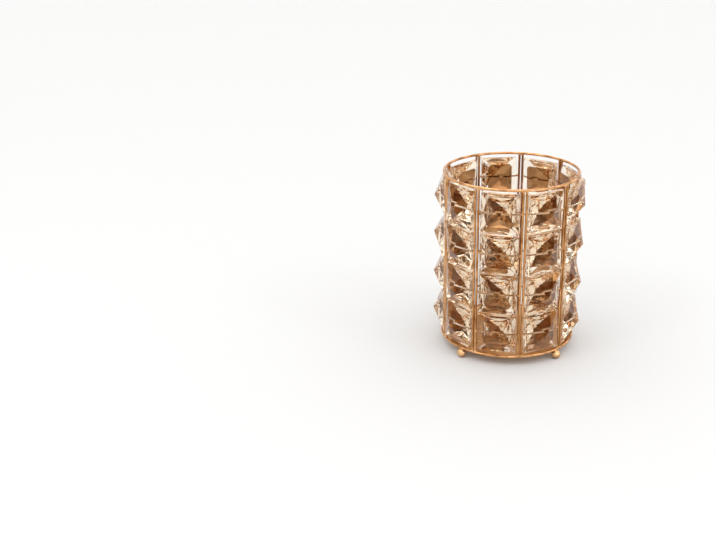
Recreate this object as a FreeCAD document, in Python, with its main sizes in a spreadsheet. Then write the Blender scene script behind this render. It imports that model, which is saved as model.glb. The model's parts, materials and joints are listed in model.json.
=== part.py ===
"""Round crystal brush holder: glass beads on wire pins in a soldered wire cage, on four ball feet.

The frame is millimetres with +Z up. The origin is on the cup's axis, in the plane that the feet stand on. The
front is -Y, and column 1 stands next to it. Columns are counted anticlockwise seen from above, rows from the bottom.
"""
import FreeCAD, Part
import math
import os
import Sketcher

doc = FreeCAD.newDocument("crystal_brush_holder")

# --------------------------------------------------------------------------------------------------------------
# Driving dimensions, in millimetres and degrees
# --------------------------------------------------------------------------------------------------------------
DRIVING_SIZES = [
    ("columns", 9, "columns of crystals round the cup"),
    ("rows", 4, "crystals in a column"),
    ("first_column", -5.0, "column 1, anticlockwise from the front"),
    ("ring_radius", 43.4, "axis of the cup to the middle of the ring wire"),
    ("ring_wire", 1.7, "thickness of both rings' wire"),
    ("upright_wire", 1.55, "thickness of an upright"),
    ("pair_gap", 0.6, "gap between the uprights of neighbouring columns"),
    ("side_clearance", 0.95, "between a crystal's side and its upright"),
    ("crystal_height", 25.5, "one crystal, bottom to top"),
    ("row_gap", 1.4, "between a crystal and the one above it"),
    ("floor_gap", 2.6, "between the base plate and the lowest crystals"),
    ("rim_gap", 1.9, "between the highest crystals and the top ring"),
    ("girdle", 3.2, "thickness of a crystal's square rim"),
    ("bevel_width", 4.2, "width of the sloped border round each face"),
    ("bevel_rise", 2.0, "how far the border stands out over the rim"),
    ("point_rise", 4.9, "how far the four main facets rise over the border"),
    ("pin_wire", 1.2, "thickness of a pin"),
    ("pin_clearance", 0.05, "radial, between a pin and its bore"),
    ("crystal_lean", 5.0, "most that a settled crystal leans on its pin"),
    ("loose_lean", 13.0, "lean of the one crystal that has turned further"),
    ("plate_thickness", 0.5, "sheet of the base plate"),
    ("plate_seat", 0.4, "how deep the plate's edge lies round the ring wire"),
    ("feet", 4, "ball feet"),
    ("foot_ball", 6.0, "diameter of a ball foot"),
    ("foot_seat", 0.4, "how deep the ring wire lies in the top of a foot"),
    ("foot_flat", 0.12, "height ground off the bottom of a foot"),
    ("first_foot", -38.0, "first foot, anticlockwise from the front"),
]

sheet = doc.addObject("Spreadsheet::Sheet", "Sizes")
for line, (alias, value, meaning) in enumerate(DRIVING_SIZES, start=1):
    sheet.set(f"A{line}", str(value))
    sheet.setAlias(f"A{line}", alias)
    sheet.set(f"B{line}", meaning)
doc.recompute()

COLUMNS = int(sheet.get("columns"))
ROWS = int(sheet.get("rows"))
FEET = int(sheet.get("feet"))

# The one crystal that has turned further on its pin than the others: column and row
LOOSE_CRYSTAL = (3, ROWS)
# Step between the leans of crystals counted one after another, so that neighbours differ
LEAN_STEP_DEG = 137.5

# --------------------------------------------------------------------------------------------------------------
# Sizes that follow from the driving ones
# --------------------------------------------------------------------------------------------------------------
derived = doc.addObject("App::VarSet", "Derived")


def derive(name, expression):
    """Add a length or angle that follows from the driving dimensions."""
    derived.addProperty("App::PropertyFloat", name)
    derived.setExpression(name, expression)


derive("column_angle", "360 / Sizes.columns")
# Half of the angle between the two uprights that stand side by side at a column's edge
derive("pair_half_angle", "asin((Sizes.pair_gap + Sizes.upright_wire) / 2 / Sizes.ring_radius) / 1 deg")
derive("upright_angle", "column_angle / 2 - pair_half_angle")
# An upright's place in its column: sideways from the column's middle, and outwards from the cup's axis
derive("upright_side", "Sizes.ring_radius * sin(upright_angle * 1 deg)")
derive("pin_radius", "Sizes.ring_radius * cos(upright_angle * 1 deg)")
derive("crystal_width", "2 * (upright_side - Sizes.upright_wire / 2 - Sizes.side_clearance)")
derive("foot_height", "Sizes.foot_ball / 2 - Sizes.foot_flat")
derive("ring_height", "foot_height + Sizes.foot_ball / 2 - Sizes.foot_seat + Sizes.ring_wire / 2")
derive("first_pin_height", "ring_height + (Sizes.plate_thickness + Sizes.crystal_height) / 2 + Sizes.floor_gap")
derive("row_pitch", "Sizes.crystal_height + Sizes.row_gap")
derive("crystals_top", "first_pin_height + (Sizes.rows - 1) * row_pitch + Sizes.crystal_height / 2")
derive("rim_height", "crystals_top + Sizes.rim_gap + Sizes.ring_wire / 2")
doc.recompute()


# --------------------------------------------------------------------------------------------------------------
# Helpers
# --------------------------------------------------------------------------------------------------------------
def bind(item, expressions):
    """Tie properties of an object to the sheet: a dictionary of property and expression."""
    for prop, expression in expressions.items():
        item.setExpression(prop, expression)
    return item


def primitive(kind, name, expressions):
    """A Part primitive with its sizes tied to the sheet."""
    return bind(doc.addObject(f"Part::{kind}", name), expressions)


def compound(name, members):
    """A group of separate solids."""
    group = doc.addObject("Part::Compound", name)
    group.Links = members
    return group


def cut(name, base, tool):
    """The base with the tool's shape taken out of it."""
    result = doc.addObject("Part::Cut", name)
    result.Base = base
    result.Tool = tool
    return result


def round_the_cup(turn, radius, height, lean="0"):
    """Placement of something that faces outwards: turned round the axis, set out and up, and leant outwards."""
    turned = f"placement(vector(0; 0; 0); rotationz({turn}))"
    return f"{turned} * placement(vector(0; -({radius}); {height}); rotationx({lean}))"


def placed_copy(name, blank, placement):
    """A body of its own, made from a blank and put in its place."""
    body = doc.addObject("PartDesign::Body", name)
    body.Label = name
    body.BaseFeature = blank
    return bind(body, {"Placement": placement})


def origin_plane(body, role):
    """One of a body's own origin planes."""
    return next(item for item in body.Origin.OriginFeatures if item.Role == role)


def pin_height(row):
    """Height of a row's pins, as an expression; row 1 is the lowest."""
    return f"Derived.first_pin_height + {row - 1} * Derived.row_pitch"


def column_turn(column):
    """Turn of a column round the axis, as an expression."""
    return f"Sizes.first_column + {column - 1} * Derived.column_angle"


# --------------------------------------------------------------------------------------------------------------
# Rings: a round wire section revolved about the cup's axis
# --------------------------------------------------------------------------------------------------------------
def wire_ring(name, height):
    body = doc.addObject("PartDesign::Body", name)
    body.Label = name
    section = body.newObject("Sketcher::SketchObject", f"{name}_section")
    section.AttachmentSupport = [(origin_plane(body, "XZ_Plane"), "")]
    section.MapMode = "FlatFace"
    centre = FreeCAD.Vector(sheet.get("ring_radius"), 0, 0)
    section.addGeometry(Part.Circle(centre, FreeCAD.Vector(0, 0, 1), sheet.get("ring_wire") / 2), False)
    section.addConstraint(Sketcher.Constraint("PointOnObject", 0, 3, -1))
    out = section.addConstraint(Sketcher.Constraint("DistanceX", -1, 1, 0, 3, sheet.get("ring_radius")))
    thick = section.addConstraint(Sketcher.Constraint("Diameter", 0, sheet.get("ring_wire")))
    section.setExpression(f"Constraints[{out}]", "Sizes.ring_radius")
    section.setExpression(f"Constraints[{thick}]", "Sizes.ring_wire")
    hoop = body.newObject("PartDesign::Revolution", f"{name}_hoop")
    hoop.Profile = section
    hoop.ReferenceAxis = (section, ["V_Axis"])
    hoop.Angle = 360
    body.Tip = hoop
    return bind(body, {"Placement.Base.z": height})


top_ring = wire_ring("top_ring", "Derived.rim_height")
bottom_ring = wire_ring("bottom_ring", "Derived.ring_height")


# --------------------------------------------------------------------------------------------------------------
# Base plate: a sheet disc let into the bottom ring, its edge hollowed to seat round the ring wire
# --------------------------------------------------------------------------------------------------------------
def make_base_plate():
    disc = doc.addObject("PartDesign::Body", "plate_blank")
    outline = disc.newObject("Sketcher::SketchObject", "plate_outline")
    outline.AttachmentSupport = [(origin_plane(disc, "XY_Plane"), "")]
    outline.MapMode = "FlatFace"
    start = sheet.get("ring_radius") - sheet.get("ring_wire") / 2 + sheet.get("plate_seat")
    outline.addGeometry(Part.Circle(FreeCAD.Vector(0, 0, 0), FreeCAD.Vector(0, 0, 1), start), False)
    outline.addConstraint(Sketcher.Constraint("Coincident", 0, 3, -1, 1))
    edge = outline.addConstraint(Sketcher.Constraint("Radius", 0, start))
    outline.setExpression(f"Constraints[{edge}]", "Sizes.ring_radius - Sizes.ring_wire / 2 + Sizes.plate_seat")
    pad = disc.newObject("PartDesign::Pad", "plate_sheet")
    pad.Profile = outline
    pad.Midplane = True
    pad.setExpression("Length", "Sizes.plate_thickness")
    disc.Tip = pad
    bind(disc, {"Placement.Base.z": "Derived.ring_height"})
    return cut("base_plate", disc, bottom_ring)


base_plate = make_base_plate()


# --------------------------------------------------------------------------------------------------------------
# Feet: balls soldered under the bottom ring, seated round its wire and ground flat underneath
# --------------------------------------------------------------------------------------------------------------
def make_feet():
    balls = []
    for number in range(FEET):
        turn = f"Sizes.first_foot + {number} * 360 / Sizes.feet"
        sizes = {
            "Radius": "Sizes.foot_ball / 2",
            "Angle1": "-asin(Derived.foot_height * 2 / Sizes.foot_ball)",
            "Placement": round_the_cup(turn, "Sizes.ring_radius", "Derived.foot_height"),
        }
        balls.append(primitive("Sphere", f"foot_ball_{number + 1}", sizes))
    return cut("feet", compound("foot_balls", balls), bottom_ring)


feet = make_feet()


# --------------------------------------------------------------------------------------------------------------
# Uprights: two straight wires to a column, each end coped to sit on the ring wire
# --------------------------------------------------------------------------------------------------------------
def make_upright_blank():
    wires = []
    for side, sign in (("left", "-"), ("right", "")):
        sizes = {
            "Radius": "Sizes.upright_wire / 2",
            "Height": "Derived.rim_height - Derived.ring_height",
            "Placement.Base.x": f"{sign}Derived.upright_side",
            "Placement.Base.y": "-Derived.pin_radius",
            "Placement.Base.z": "Derived.ring_height",
        }
        wires.append(primitive("Cylinder", f"upright_{side}", sizes))
    seats = compound("upright_seats", [top_ring, bottom_ring, base_plate])
    return cut("upright_blank", compound("upright_wires", wires), seats)


upright_blank = make_upright_blank()


# --------------------------------------------------------------------------------------------------------------
# Pins: one straight wire for each crystal of a column, coped at both ends to the uprights
# --------------------------------------------------------------------------------------------------------------
def make_pin_blank():
    wires = []
    for row in range(1, ROWS + 1):
        pin = doc.addObject("Part::Cylinder", f"pin_wire_{row}")
        pin.Placement.Rotation = FreeCAD.Rotation(FreeCAD.Vector(0, 1, 0), 90)
        sizes = {
            "Radius": "Sizes.pin_wire / 2",
            "Height": "2 * Derived.upright_side",
            "Placement.Base.x": "-Derived.upright_side",
            "Placement.Base.y": "-Derived.pin_radius",
            "Placement.Base.z": pin_height(row),
        }
        wires.append(bind(pin, sizes))
    return cut("pin_blank", compound("pin_wires", wires), upright_blank)


pin_blank = make_pin_blank()


# --------------------------------------------------------------------------------------------------------------
# Crystal: a square rim, and on both faces a sloped border and four main facets that meet in a point
# --------------------------------------------------------------------------------------------------------------
def facing(item, face):
    """The back face's pieces stand as made; the front face's are turned half round."""
    if face == "front":
        item.Placement.Rotation = FreeCAD.Rotation(FreeCAD.Vector(0, 0, 1), 180)
    return item


def make_crystal_blank():
    half_width = "Derived.crystal_width / 2"
    half_height = "Sizes.crystal_height / 2"
    border_out = "Sizes.girdle / 2 + Sizes.bevel_rise"
    rim = {
        "Length": "Derived.crystal_width",
        "Width": "Sizes.girdle",
        "Height": "Sizes.crystal_height",
        "Placement.Base.x": f"-{half_width}",
        "Placement.Base.y": "-Sizes.girdle / 2",
        "Placement.Base.z": f"-{half_height}",
    }
    border = {
        "Xmin": f"-{half_width}",
        "Xmax": half_width,
        "Zmin": f"-{half_height}",
        "Zmax": half_height,
        "Ymin": "Sizes.girdle / 2",
        "Ymax": border_out,
        "X2min": f"Sizes.bevel_width - {half_width}",
        "X2max": f"{half_width} - Sizes.bevel_width",
        "Z2min": f"Sizes.bevel_width - {half_height}",
        "Z2max": f"{half_height} - Sizes.bevel_width",
    }
    point = {
        "Xmin": border["X2min"],
        "Xmax": border["X2max"],
        "Zmin": border["Z2min"],
        "Zmax": border["Z2max"],
        "Ymin": border_out,
        "Ymax": f"{border_out} + Sizes.point_rise",
    }
    pieces = [primitive("Box", "crystal_rim", rim)]
    for face in ("back", "front"):
        pieces.append(facing(primitive("Wedge", f"crystal_border_{face}", border), face))
        peak = primitive("Wedge", f"crystal_point_{face}", point)
        for corner in ("X2min", "X2max", "Z2min", "Z2max"):
            setattr(peak, corner, 0)
        pieces.append(facing(peak, face))
    solid = doc.addObject("Part::MultiFuse", "crystal_solid")
    solid.Shapes = pieces
    solid.Refine = True
    bore = doc.addObject("Part::Cylinder", "crystal_bore")
    bore.Placement.Rotation = FreeCAD.Rotation(FreeCAD.Vector(0, 1, 0), 90)
    through = {
        "Radius": "Sizes.pin_wire / 2 + Sizes.pin_clearance",
        "Height": "2 * Derived.crystal_width",
        "Placement.Base.x": "-Derived.crystal_width",
    }
    return cut("crystal_blank", solid, bind(bore, through))


crystal_blank = make_crystal_blank()


def crystal_lean(column, row):
    """How far a crystal leans outwards at the top, as an expression."""
    if (column, row) == LOOSE_CRYSTAL:
        return "Sizes.loose_lean"
    share = math.sin(math.radians(LEAN_STEP_DEG * ((column - 1) * ROWS + row)))
    return f"Sizes.crystal_lean * {share:.4f}"


# --------------------------------------------------------------------------------------------------------------
# The cage's columns
# --------------------------------------------------------------------------------------------------------------
nodes = [top_ring, bottom_ring, base_plate, feet]
for column in range(1, COLUMNS + 1):
    in_column = f"placement(vector(0; 0; 0); rotationz({column_turn(column)}))"
    nodes.append(placed_copy(f"uprights_c{column}", upright_blank, in_column))
    nodes.append(placed_copy(f"pins_c{column}", pin_blank, in_column))
    for row in range(1, ROWS + 1):
        on_pin = round_the_cup(column_turn(column), "Derived.pin_radius", pin_height(row), crystal_lean(column, row))
        nodes.append(placed_copy(f"crystal_c{column}_r{row}", crystal_blank, on_pin))

doc.recompute()

# --------------------------------------------------------------------------------------------------------------
# Check and write
# --------------------------------------------------------------------------------------------------------------
for item in doc.Objects:
    if "Invalid" in item.State or "Error" in item.State:
        raise RuntimeError(f"{item.Name} is {item.State}")
solids_in = {"feet": FEET}
for column in range(1, COLUMNS + 1):
    solids_in[f"uprights_c{column}"] = 2
    solids_in[f"pins_c{column}"] = ROWS
for node in nodes:
    if node.Shape.isNull() or not node.Shape.isValid():
        raise RuntimeError(f"{node.Label} has no valid shape")
    if len(node.Shape.Solids) != solids_in.get(node.Label, 1):
        raise RuntimeError(f"{node.Label} has {len(node.Shape.Solids)} solids")

os.makedirs("parts", exist_ok=True)
for node in nodes:
    node.Shape.exportStep(f"parts/{node.Label}.step")
print(f"{len(nodes)} nodes, rim at {derived.rim_height:.2f} mm, crystal {derived.crystal_width:.2f} mm wide")
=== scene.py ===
"""Looks of the round crystal brush holder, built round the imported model.

Every length is in metres, in the row's frame: +Z up, origin on the cup's axis, in the plane that the feet
stand on.
Each glass bead is modelled again here, with ground edges and a drilled bore, on the pin of the solid that it
stands for. The wires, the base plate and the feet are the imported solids, and get solder fillets and finishes.
"""
import json
import math
import random

import bmesh
import bpy
from mathutils import Matrix, Vector


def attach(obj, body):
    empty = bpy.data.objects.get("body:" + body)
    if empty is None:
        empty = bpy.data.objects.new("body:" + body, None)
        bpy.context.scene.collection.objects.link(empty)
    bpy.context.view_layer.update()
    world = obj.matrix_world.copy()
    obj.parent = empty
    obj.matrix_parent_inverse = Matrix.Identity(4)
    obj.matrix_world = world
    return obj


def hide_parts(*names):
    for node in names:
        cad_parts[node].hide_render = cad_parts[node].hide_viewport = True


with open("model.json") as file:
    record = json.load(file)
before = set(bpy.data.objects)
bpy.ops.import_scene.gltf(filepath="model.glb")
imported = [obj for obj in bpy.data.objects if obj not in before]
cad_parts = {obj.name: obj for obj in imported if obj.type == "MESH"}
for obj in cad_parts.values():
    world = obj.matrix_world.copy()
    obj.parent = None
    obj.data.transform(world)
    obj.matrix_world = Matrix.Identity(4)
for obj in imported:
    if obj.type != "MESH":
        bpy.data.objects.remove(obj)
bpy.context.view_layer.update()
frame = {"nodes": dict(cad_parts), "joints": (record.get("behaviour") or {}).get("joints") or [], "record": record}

MM = 0.001
UP = Vector((0, 0, 1))
scene = bpy.context.scene


def axes(x, y, z):
    """The turn that lays local X, Y and Z along three directions."""
    return Matrix((x, y, z)).transposed().to_4x4()


# ----------------------------------------------------------------------------------------------------------
# Camera
# ----------------------------------------------------------------------------------------------------------
CAMERA_PLACE = (0.03953, -0.70627, 0.32376)
CAMERA_LENS_MM = 56.7
CAMERA_SENSOR_MM = 36
# Degrees: below the horizon, from +Y towards +X, and the slight turn of the picture
CAMERA_PITCH = 21.25
CAMERA_YAW = -11.34
CAMERA_ROLL = -1.04
NEAREST_SEEN = 10 * MM


def add_camera():
    pitch, yaw, roll = (math.radians(angle) for angle in (CAMERA_PITCH, CAMERA_YAW, CAMERA_ROLL))
    ahead = Vector((math.sin(yaw) * math.cos(pitch), math.cos(yaw) * math.cos(pitch), -math.sin(pitch)))
    level_right = Vector((math.cos(yaw), -math.sin(yaw), 0))
    level_up = level_right.cross(ahead)
    right = math.cos(roll) * level_right + math.sin(roll) * level_up
    up = math.cos(roll) * level_up - math.sin(roll) * level_right
    camera = bpy.data.objects.new("camera", bpy.data.cameras.new("camera"))
    camera.data.sensor_width = CAMERA_SENSOR_MM
    camera.data.lens = CAMERA_LENS_MM
    camera.data.clip_start = NEAREST_SEEN
    camera.matrix_world = Matrix.Translation(CAMERA_PLACE) @ axes(right, up, -ahead)
    scene.collection.objects.link(camera)
    scene.camera = camera


add_camera()


# ----------------------------------------------------------------------------------------------------------
# Node helpers
# ----------------------------------------------------------------------------------------------------------
NOISE_ROUGHNESS = 0.55


class Nodes:
    """Adds nodes to a tree. A value that a node takes is another node's output or a constant."""

    def __init__(self, tree):
        self.tree = tree

    def node(self, kind, **settings):
        made = self.tree.nodes.new(f"ShaderNode{kind}")
        for name, value in settings.items():
            if name in made.inputs:
                self.feed(value, made.inputs[name])
            else:
                setattr(made, name, value)
        return made

    def link(self, source, target):
        self.tree.links.new(source, target)

    def feed(self, value, socket):
        if isinstance(value, bpy.types.NodeSocket):
            self.link(value, socket)
        elif isinstance(value, tuple) and len(value) < len(socket.default_value):
            socket.default_value = (*value, 1)
        else:
            socket.default_value = value

    def math(self, operation, first, second=0.0):
        made = self.node("Math", operation=operation)
        self.feed(first, made.inputs[0])
        self.feed(second, made.inputs[1])
        return made.outputs[0]

    def noise(self, place, scale, detail, roughness=NOISE_ROUGHNESS):
        made = self.node("TexNoise", Vector=place, Scale=scale, Detail=detail, Roughness=roughness)
        return made.outputs["Fac"]


class Material(Nodes):
    """A node material round one Principled shader."""

    def __init__(self, name):
        self.material = bpy.data.materials.new(name)
        self.material.use_nodes = True
        super().__init__(self.material.node_tree)
        self.shader = self.tree.nodes["Principled BSDF"]
        self.output = self.tree.nodes["Material Output"]

    def set(self, **values):
        """Values on the shader's own sockets: base_color becomes Base Color."""
        for name, value in values.items():
            self.feed(value, self.shader.inputs[name.replace("_", " ").title().replace("Ior", "IOR")])
        return self

    def place(self, scale=(1, 1, 1)):
        """The surface's own place in metres, stretched."""
        own_place = self.node("TexCoord").outputs["Object"]
        return self.node("Mapping", Vector=own_place, Scale=scale).outputs["Vector"]

    def ramp(self, source, levels, ends):
        """One end below the source's lower level, the other above its upper; a plain number is a grey."""
        made = self.node("ValToRGB", Fac=source)
        for element, level, end in zip(made.color_ramp.elements, levels, ends):
            element.position = level
            element.color = (*end, 1) if isinstance(end, tuple) else (end, end, end, 1)
        return made.outputs["Color"]

    def mix(self, share, first, second):
        made = self.node("Mix", data_type="RGBA")
        for value, socket in zip((share, first, second), (made.inputs[0], made.inputs[6], made.inputs[7])):
            self.feed(value, socket)
        return made.outputs[2]

    def bump(self, height, depth):
        self.set(normal=self.node("Bump", Height=height, Distance=depth).outputs["Normal"])


# ----------------------------------------------------------------------------------------------------------
# Materials
# ----------------------------------------------------------------------------------------------------------
# Noise scales are counts per metre. The noise's levels: of clouds, of marks that leave most of a face alone,
# and of an even spread
CLOUD_LEVELS = (0.35, 0.65)
MARK_LEVELS = (0.45, 0.75)
EVEN_LEVELS = (0.3, 0.7)

# Base colours of the glass, cloudy from the first to the second: clear, and under the champagne coating
CLEAR = ((1.0, 0.935, 0.83), (1.0, 0.97, 0.92))
COATING = ((0.05, 0.010, 0.002), (0.14, 0.038, 0.007))
GLASS_CLOUDS = 60.0
GLASS_IOR = 1.53
# The glass's own reflection: its tint, which is the coating's, and its level
WARM_SHEEN = (1.0, 0.55, 0.22)
SHEEN_LEVEL = 0.3
# What the glass takes out of the light on its way through, per metre
GLASS_DEPTH_COLOUR = (0.84, 0.54, 0.16)
GLASS_DEPTH = 20.0
# Roughness of polished facets, from clean to marked, and of the ground bore
POLISH = (0.0, 0.03)
GRIND = (0.15, 0.35)
# Marks of polishing, drawn out along the bead, and the slow waves that pressing leaves
MARKS = 900.0
MARKS_STRETCH = (1, 6, 1)
WAVES = 320.0
WAVE_HEIGHT = 0.03 * MM
MARK_SHARE = 0.06
# A bead's faces: polished towards the outside, coated towards the well, ground in the bore
FACING = "facing"
POLISHED, COATED, GROUND = 0.0, 1.0, 2.0

# Painted shade in the hollows between parts: its colour, how near a neighbour makes a place shaded, and how open
# such a place is: all painted shade, and none
PAINTED_CREVICE_SHADE = (0.24, 0.09, 0.03)
CREVICE_REACH = 2.5 * MM
CREVICE_LEVELS = (0.35, 0.85)
CREVICE_SAMPLES = 8
PLATING_CLOUDS = 180.0
PLATING_ROUGHNESS = (0.12, 0.3)
SOLDER_ROUGHNESS = (0.2, 0.42)
# The plating's grain: its depth, and its scales along the three axes on the uprights, the rings and the rest
GRAIN_DEPTH = 0.01 * MM
WIRE_ALONG_Z = (9000, 9000, 400)
WIRE_ROUND_Z = (900, 900, 9000)
EVEN_GRAIN = (4000, 4000, 4000)

# The base plate: brushed rings about the axis, drawn out so much along them, and the clouds over them
PLATE_COLOURS = ((0.50, 0.26, 0.10), (0.68, 0.40, 0.18))
PLATE_ROUGHNESS = (0.2, 0.38)
RING_GRAIN = 5000.0
RING_STRETCH = 0.002
PLATE_CLOUDS = 90.0
CLOUD_SHARE = 0.4
BRUSH_DEPTH = 0.012 * MM


def crystal_glass():
    """Faceted lead glass: champagne in the glass, a deeper coating on the facets towards the well, and ground
    bores."""
    made = Material("crystal_glass").set(transmission_weight=1.0, ior=GLASS_IOR)
    made.set(specular_ior_level=SHEEN_LEVEL, specular_tint=WARM_SHEEN)
    facing = made.node("Attribute", attribute_name=FACING).outputs["Fac"]
    coated = made.math("MODULO", facing, GROUND)
    ground = made.math("MAXIMUM", made.math("SUBTRACT", facing, COATED), 0.0)
    cloud = made.noise(made.place(), GLASS_CLOUDS, detail=2.0)
    clear, coating = (made.ramp(cloud, CLOUD_LEVELS, colours) for colours in (CLEAR, COATING))
    marks = made.noise(made.place(MARKS_STRETCH), MARKS, detail=4.0)
    polish = made.ramp(marks, MARK_LEVELS, POLISH)
    grind = made.ramp(marks, EVEN_LEVELS, GRIND)
    made.set(base_color=made.mix(coated, clear, coating), roughness=made.mix(ground, polish, grind))
    waves = made.noise(made.place(), WAVES, detail=1.0)
    made.bump(made.math("ADD", waves, made.math("MULTIPLY", marks, MARK_SHARE)), WAVE_HEIGHT)
    depth = made.node("VolumeAbsorption", Color=GLASS_DEPTH_COLOUR, Density=GLASS_DEPTH)
    made.link(depth.outputs["Volume"], made.output.inputs["Volume"])
    return made.material


def gold(name, bright, deep, grain, roughness=PLATING_ROUGHNESS, crevice_shade=True):
    """Plated brass: drawn or brushed along the grain, deeper in colour where the plating is thicker, and
    darkened by painted shade where neighbouring parts are near."""
    made = Material(name).set(metallic=1.0)
    lines = made.noise(made.place(grain), 1.0, detail=4.0)
    cloud = made.noise(made.place(), PLATING_CLOUDS, detail=3.0)
    plating_and_shade = made.ramp(cloud, CLOUD_LEVELS, (deep, bright))
    if crevice_shade:
        # Painted shade: ambient occlusion darkens the base colour towards a dark brown near neighbouring parts
        around = made.node("AmbientOcclusion", samples=CREVICE_SAMPLES, Distance=CREVICE_REACH).outputs["AO"]
        plating_and_shade = made.mix(made.ramp(around, CREVICE_LEVELS, (0.0, 1.0)), PAINTED_CREVICE_SHADE, plating_and_shade)
    worn = made.ramp(made.mix(0.5, lines, cloud), CLOUD_LEVELS, roughness)
    made.set(base_color=plating_and_shade, roughness=worn)
    made.bump(lines, GRAIN_DEPTH)
    return made.material


def brushed_sheet():
    """The base plate: brushed in circles about the cup's axis, clouded by what has stood on it."""
    made = Material("gold_sheet").set(metallic=1.0, anisotropic=0.5)
    east, north, height = made.node("SeparateXYZ", Vector=made.place()).outputs
    squares = (made.math("MULTIPLY", offset, offset) for offset in (east, north))
    reach = made.math("SQRT", made.math("ADD", *squares))
    turn = made.math("MULTIPLY", made.math("ARCTAN2", north, east), RING_STRETCH)
    polar = made.node("CombineXYZ", X=reach, Y=turn, Z=height).outputs["Vector"]
    rings = made.noise(polar, RING_GRAIN, detail=3.0)
    cloud = made.noise(made.place(), PLATE_CLOUDS, detail=3.0)
    tone = made.mix(CLOUD_SHARE, rings, cloud)
    made.set(base_color=made.ramp(tone, CLOUD_LEVELS, PLATE_COLOURS),
             roughness=made.ramp(tone, EVEN_LEVELS, PLATE_ROUGHNESS))
    made.bump(tone, BRUSH_DEPTH)
    return made.material


GLASS = crystal_glass()
SHEET = brushed_sheet()
UPRIGHT_GOLD = gold("upright_gold", (0.72, 0.38, 0.16), (0.36, 0.15, 0.04), WIRE_ALONG_Z)
RING_GOLD = gold("ring_gold", (0.82, 0.46, 0.22), (0.50, 0.23, 0.08), WIRE_ROUND_Z)
PIN_GOLD = gold("pin_gold", (0.50, 0.28, 0.12), (0.36, 0.18, 0.07), EVEN_GRAIN, crevice_shade=False)
FOOT_GOLD = gold("foot_gold", (0.90, 0.58, 0.30), (0.72, 0.40, 0.17), EVEN_GRAIN)
SOLDER = gold("solder_gold", (0.84, 0.52, 0.27), (0.60, 0.31, 0.12), EVEN_GRAIN, roughness=SOLDER_ROUGHNESS)


# ----------------------------------------------------------------------------------------------------------
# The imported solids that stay: each takes its finish by the first word of its name
# ----------------------------------------------------------------------------------------------------------
FINISHES = {"uprights": UPRIGHT_GOLD, "top": RING_GOLD, "bottom": RING_GOLD, "pins": PIN_GOLD,
            "feet": FOOT_GOLD, "base": SHEET}


def finish_solids():
    for name, item in frame["nodes"].items():
        kind = name.split("_")[0]
        if kind in FINISHES:
            item.data.materials.clear()
            item.data.materials.append(FINISHES[kind])


finish_solids()


# ----------------------------------------------------------------------------------------------------------
# Mesh helpers
# ----------------------------------------------------------------------------------------------------------
LOFT_SIDES = 32


def mesh_data(name, mesh):
    data = bpy.data.meshes.new(name)
    mesh.to_mesh(data)
    mesh.free()
    return data


def add_object(name, data):
    item = bpy.data.objects.new(name, data)
    scene.collection.objects.link(item)
    return item


def loft(mesh, stations, place):
    """Add a closed body lofted along local X through (along, half width in Y, half height in Z) ellipses."""
    turns = [2 * math.pi * step / LOFT_SIDES for step in range(LOFT_SIDES)]
    loops = []
    for along, across, up in stations:
        points = [Vector((along, across * math.cos(turn), up * math.sin(turn))) for turn in turns]
        loops.append([mesh.verts.new(place @ point) for point in points])
    for first, second in zip(loops, loops[1:]):
        for step in range(LOFT_SIDES):
            after = (step + 1) % LOFT_SIDES
            mesh.faces.new((first[step], first[after], second[after], second[step]))
    mesh.faces.new(loops[0])
    mesh.faces.new(loops[-1])


# ----------------------------------------------------------------------------------------------------------
# Glass beads
# ----------------------------------------------------------------------------------------------------------
GROUND_EDGE = 0.22 * MM
BORE_RADIUS = 0.65 * MM
BORE_FLARE = 0.25 * MM
DRILL_OVERRUN = 1 * MM
# How far hand grinding moves a bead's point, and what share of that it moves the border's inner corners
GRIND_WANDER = 0.25 * MM
BORDER_SHARE = 0.4
# How far the middle of an inner facet stands out, where smaller facets meet: in the star and in the border
STAR_RISE = 0.35 * MM
BORDER_RISE = 0.15 * MM
# Corners of a packed bead that are this near in height or depth lie on the same section of it
SAME_SECTION = 0.01 * MM


def bead_frame(joint, leaning=True):
    """The matrix of a bead on its pin: local X along the pin, -Y outwards, Z up the bead."""
    along = Vector(joint["axis"])
    low, high = joint["range_deg"]
    lean = math.radians(-(low + high) / 2) if leaning else 0
    inwards = Vector((-along.y, along.x, 0))
    return Matrix.Translation(joint["pos_m"]) @ axes(along, inwards, UP) @ Matrix.Rotation(lean, 4, "X")


def bead_sections(node, place):
    """Half width, half height and distance out of a packed bead's rim, of its border's inner edge and of its
    point."""
    inverse = place.inverted()
    corners = [inverse @ vertex.co for vertex in node.data.vertices]
    top, point_out = max(corner.z for corner in corners), max(corner.y for corner in corners)
    rim = [corner for corner in corners if corner.z > top - SAME_SECTION]
    rim_out = max(corner.y for corner in rim)
    border = [corner for corner in corners if rim_out + SAME_SECTION < corner.y < point_out - SAME_SECTION]
    point = [corner for corner in corners if corner.y >= point_out - SAME_SECTION]
    sections = (rim, border, point)
    return [[max(corner[axis] for corner in section) for axis in (0, 2, 1)] for section in sections]


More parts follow.
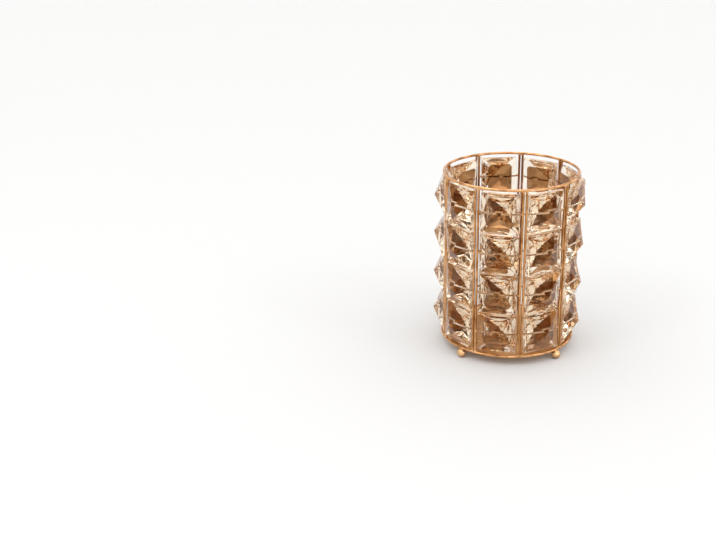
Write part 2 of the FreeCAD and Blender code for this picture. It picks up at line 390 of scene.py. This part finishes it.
def bead_mesh(name, sections, chance):
    """A square bead with the same facets on both faces, each ground a little off its true place."""
    (half_width, half_height, rim_out), (inner_width, inner_height, border_out), (_, _, point_out) = sections
    mesh = bmesh.new()

    def wander(share):
        return chance.uniform(-share, share) * GRIND_WANDER

    def square(width, height, out, share):
        corners = []
        for x, z in ((-1, -1), (1, -1), (1, 1), (-1, 1)):
            corners.append(mesh.verts.new((x * width + wander(share), out, z * height + wander(share))))
        return corners

    def split_facet(corners, rise):
        middle = mesh.verts.new(sum((corner.co for corner in corners), Vector()) / len(corners))
        middle.co.y += rise
        for first, second in zip(corners, corners[1:] + corners[:1]):
            mesh.faces.new((first, second, middle))

    rims, rings, peaks = [], [], []
    for face in (-1, 1):
        rims.append(square(half_width, half_height, face * rim_out, 0))
        rings.append(square(inner_width, inner_height, face * border_out, BORDER_SHARE))
        peaks.append(mesh.verts.new((wander(1), face * point_out, wander(1))))
    for start in range(4):
        end = (start + 1) % 4
        mesh.faces.new((rims[0][start], rims[0][end], rims[1][end], rims[1][start]))
        mesh.faces.new((rims[0][start], rims[0][end], rings[0][end], rings[0][start]))
        mesh.faces.new((rings[0][start], rings[0][end], peaks[0]))
        split_facet((rims[1][start], rims[1][end], rings[1][end], rings[1][start]), BORDER_RISE)
        split_facet((rings[1][start], rings[1][end], peaks[1]), STAR_RISE)
    bmesh.ops.recalc_face_normals(mesh, faces=mesh.faces)
    bmesh.ops.bevel(mesh, geom=mesh.edges[:], offset=GROUND_EDGE, segments=1, affect="EDGES")
    return mesh_data(name, mesh)


def bore_cutter(half_width):
    """A drill's path along local X, flared where it leaves the bead."""
    wide = BORE_RADIUS + BORE_FLARE
    outside, inside = half_width + DRILL_OVERRUN, half_width - BORE_FLARE
    stations = ((-outside, wide), (-half_width, wide), (-inside, BORE_RADIUS),
                (inside, BORE_RADIUS), (half_width, wide), (outside, wide))
    mesh = bmesh.new()
    loft(mesh, [(along, radius, radius) for along, radius in stations], Matrix.Identity(4))
    bmesh.ops.recalc_face_normals(mesh, faces=mesh.faces)
    return mesh_data("bore_cutter", mesh)


def drill(item, cutter):
    """Take the cutter out of the item for good."""
    hole = item.modifiers.new("drill", "BOOLEAN")
    hole.object = cutter
    hole.solver = "EXACT"
    drilled = bpy.data.meshes.new_from_object(item.evaluated_get(bpy.context.evaluated_depsgraph_get()))
    item.modifiers.clear()
    item.data = drilled


def mark_faces(data, border_out):
    """Say of each face of a drilled bead, in its own frame, whether it is polished, coated or ground."""
    facing = data.attributes.new(FACING, "FLOAT", "FACE")
    for face in data.polygons:
        middle = face.center
        if math.hypot(middle.y, middle.z) < BORE_RADIUS + BORE_FLARE:
            facing.data[face.index].value = GROUND
        elif middle.y > border_out:
            facing.data[face.index].value = COATED
        else:
            facing.data[face.index].value = POLISHED


def add_beads():
    cutter = None
    for number, joint in enumerate(frame["joints"]):
        node = frame["nodes"][joint["child"]]
        place = bead_frame(joint)
        sections = bead_sections(node, place)
        half_width, border_out = sections[0][0], sections[1][2]
        if cutter is None:
            cutter = add_object("bore_cutter", bore_cutter(half_width))
        name = joint["child"].replace("crystal", "bead")
        bead = add_object(name, bead_mesh(name, sections, random.Random(number)))
        drill(bead, cutter)
        mark_faces(bead.data, border_out)
        bead.data.transform(place)
        bead.data.materials.append(GLASS)
        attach(bead, joint["child"])
        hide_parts(joint["child"])
    bpy.data.objects.remove(cutter)


add_beads()


# ----------------------------------------------------------------------------------------------------------
# Solder at the joints of the cage
# ----------------------------------------------------------------------------------------------------------
# Fillets as stations, in mm: from the surface that the wire meets, and how much wider than the wire
PIN_FILLET = ((-0.5, 0.5), (0.0, 0.42), (0.12, 0.26), (0.3, 0.1), (0.5, 0.02))
RING_FILLET = ((-0.5, 0.55), (-0.15, 0.45), (0.1, 0.26), (0.35, 0.1), (0.6, 0.02))
# A fillet spreads along the wire that it meets, and hardly across it
SIDE_SPREAD = 0.12
# Collars between a foot and the ring, in mm: height from the ring's lowest line, and half widths along the
# ring and across it
FOOT_COLLAR = ((-0.45, 2.0, 2.0), (-0.2, 1.86, 1.78), (0.1, 1.5, 1.1), (0.4, 1.25, 0.88), (0.7, 1.15, 0.8))
FEET = 4


def spread(coordinates):
    """Middle and half width of some numbers."""
    low, high = min(coordinates), max(coordinates)
    return (low + high) / 2, (high - low) / 2


def wire_height(ring):
    return spread([vertex.co.z for vertex in frame["nodes"][ring].data.vertices])


def add_solder_piece(name, mesh):
    bmesh.ops.recalc_face_normals(mesh, faces=mesh.faces)
    for face in mesh.faces:
        face.smooth = True
    piece = add_object(name, mesh_data(name, mesh))
    piece.data.materials.append(SOLDER)
    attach(piece, "cage")


def pin_fillets(mesh, place, side, upright_radius, pin_radius):
    """Solder at both ends of a pin."""
    for end in (-1, 1):
        stations = [(end * (side - upright_radius - out * MM), pin_radius + wider * SIDE_SPREAD * MM,
                     pin_radius + wider * MM) for out, wider in PIN_FILLET]
        loft(mesh, stations, place)


def ring_fillets(mesh, place, side, upright_radius):
    """Solder at both ends of both uprights, where they stand on the rings."""
    for ring, away in (("top_ring", -1), ("bottom_ring", 1)):
        height, wire_radius = wire_height(ring)
        stations = [(wire_radius + out * MM, upright_radius + wider * MM,
                     upright_radius + wider * SIDE_SPREAD * MM) for out, wider in RING_FILLET]
        for end in (-1, 1):
            foot = place @ Vector((end * side, 0, 0))
            turned = axes(away * UP, place.col[0].xyz, place.col[1].xyz)
            loft(mesh, stations, Matrix.Translation((foot.x, foot.y, height)) @ turned)


def add_column_solder():
    columns = {}
    for joint in frame["joints"]:
        columns.setdefault(joint["name"].split("_")[1], []).append(joint)
    for column, joints in columns.items():
        mesh = bmesh.new()
        places = [bead_frame(joint, leaning=False) for joint in joints]
        back = places[0].inverted()
        uprights, pins = (frame["nodes"][f"{kind}_{column}"].data.vertices for kind in ("uprights", "pins"))
        side, upright_radius = spread([abs((back @ vertex.co).x) for vertex in uprights])
        pin_radius = spread([(back @ vertex.co).y for vertex in pins])[1]
        for place in places:
            pin_fillets(mesh, place, side, upright_radius, pin_radius)
        ring_fillets(mesh, places[0], side, upright_radius)
        add_solder_piece(f"solder_{column}", mesh)


def add_foot_solder():
    height, wire_radius = wire_height("bottom_ring")
    mounts = {mount["name"]: mount for mount in frame["record"]["mounts"]}
    first = Vector(mounts["foot_rest"]["pos_m"])
    outwards = first.normalized()
    along = outwards.cross(UP)
    stations = [(rise * MM, long * MM, wide * MM) for rise, long, wide in FOOT_COLLAR]
    stand = Matrix.Translation((first.x, first.y, height - wire_radius)) @ axes(UP, along, outwards)
    mesh = bmesh.new()
    for number in range(FEET):
        loft(mesh, stations, Matrix.Rotation(2 * math.pi * number / FEET, 4, "Z") @ stand)
    add_solder_piece("solder_feet", mesh)


add_column_solder()
add_foot_solder()


# ----------------------------------------------------------------------------------------------------------
# Stage: floor, world and lamps
# ----------------------------------------------------------------------------------------------------------
FLOOR_SIZE = 24.0
FLOOR_COLOUR = (0.94, 0.937, 0.93)
FLOOR_ROUGHNESS = 0.9
WHITE = (1, 1, 1, 1)
WORLD_LIGHT = 1.0
# The studio that the glass and the metal show, on the camera's side and overhead: its middle, and the cosines
# of the angle from there between which it fills in
STUDIO_MIDDLE = Vector((0.35, -1, 0.3))
STUDIO_EDGE = (-0.1, 0.5)
OVERHEAD_EDGE = (0.2, 0.45)
# Its dark, its soft boxes, how small they are, and the levels of noise between which one ends
STUDIO_DARK, BOX_BRIGHT = 0.02, 2.6
BOX_SCALE = 3.5
BOX_EDGE = (0.46, 0.54)
# Lamps: place, size and watts. They point at the holder's middle
LAMPS = {"key": ((-0.6, -0.6, 0.9), 0.2, 0.9), "fill": ((0.7, -0.3, 0.7), 0.15, 0.5)}
LAMP_AIM = (0, 0, 0.06)
# Light that is caught in a bead turns many times before it leaves
LIGHT_BOUNCES = 32


def add_floor():
    mesh = bmesh.new()
    bmesh.ops.create_grid(mesh, x_segments=1, y_segments=1, size=FLOOR_SIZE / 2)
    floor = add_object("floor", mesh_data("floor", mesh))
    made = Material("floor").set(base_color=FLOOR_COLOUR, roughness=FLOOR_ROUGHNESS)
    floor.data.materials.append(made.material)


class World(Nodes):
    """An even white light, shown as a white cyclorama. Towards the camera's side and overhead, what the glass
    and the metal show of it is a dim studio with bright soft boxes."""

    def __init__(self):
        world = bpy.data.worlds.new("studio")
        scene.world = world
        world.use_nodes = True
        super().__init__(world.node_tree)
        self.direction = self.node("TexCoord").outputs["Generated"]
        path = self.node("LightPath").outputs
        reflected = self.math("MAXIMUM", path["Is Glossy Ray"], path["Is Transmission Ray"])
        light = self.tree.nodes["Background"]
        self.feed(WHITE, light.inputs["Color"])
        self.feed(WORLD_LIGHT, light.inputs["Strength"])
        level = self.node("Mix", Factor=path["Is Camera Ray"], A=self.studio(), B=1.0).outputs["Result"]
        shown = self.node("Background", Color=WHITE, Strength=level)
        mix = self.node("MixShader", Fac=self.math("MAXIMUM", reflected, path["Is Camera Ray"]))
        self.link(light.outputs["Background"], mix.inputs[1])
        self.link(shown.outputs["Background"], mix.inputs[2])
        self.link(mix.outputs["Shader"], self.tree.nodes["World Output"].inputs["Surface"])

    def studio(self):
        """Brightness of the studio as seen in glass and metal."""
        boxes = self.noise(self.direction, BOX_SCALE, detail=1.0, roughness=0.5)
        brightness = self.smooth(boxes, BOX_EDGE, (STUDIO_DARK, BOX_BRIGHT))
        in_front, overhead = self.towards(STUDIO_MIDDLE, STUDIO_EDGE), self.towards(UP, OVERHEAD_EDGE)
        share = self.math("MAXIMUM", in_front, overhead)
        return self.node("Mix", Factor=share, A=1.0, B=brightness).outputs["Result"]

    def towards(self, middle, edge):
        """1 round a middle direction and 0 away from it. The edge is in cosines of the angle from there."""
        made = self.node("VectorMath", operation="DOT_PRODUCT")
        self.feed(self.direction, made.inputs[0])
        self.feed(middle.normalized(), made.inputs[1])
        return self.smooth(made.outputs["Value"], edge, (0.0, 1.0))

    def smooth(self, source, span, levels):
        """The source's span, eased into a span of levels."""
        made = self.node("MapRange", interpolation_type="SMOOTHSTEP")
        sockets = (made.inputs[name] for name in ("Value", "From Min", "From Max", "To Min", "To Max"))
        for value, socket in zip((source, *span, *levels), sockets):
            self.feed(value, socket)
        return made.outputs["Result"]


def add_lamp(name, place, size, watts):
    lamp = bpy.data.objects.new(name, bpy.data.lights.new(name, "AREA"))
    lamp.data.shape = "SQUARE"
    lamp.data.size = size
    lamp.data.energy = watts
    lamp.location = place
    lamp.rotation_mode = "QUATERNION"
    lamp.rotation_quaternion = (Vector(LAMP_AIM) - Vector(place)).to_track_quat("-Z", "Y")
    scene.collection.objects.link(lamp)


add_floor()
World()
for lamp_name, lamp_values in LAMPS.items():
    add_lamp(lamp_name, *lamp_values)

scene.view_settings.view_transform = "Standard"
scene.cycles.max_bounces = LIGHT_BOUNCES
scene.cycles.glossy_bounces = LIGHT_BOUNCES
scene.cycles.transmission_bounces = LIGHT_BOUNCES
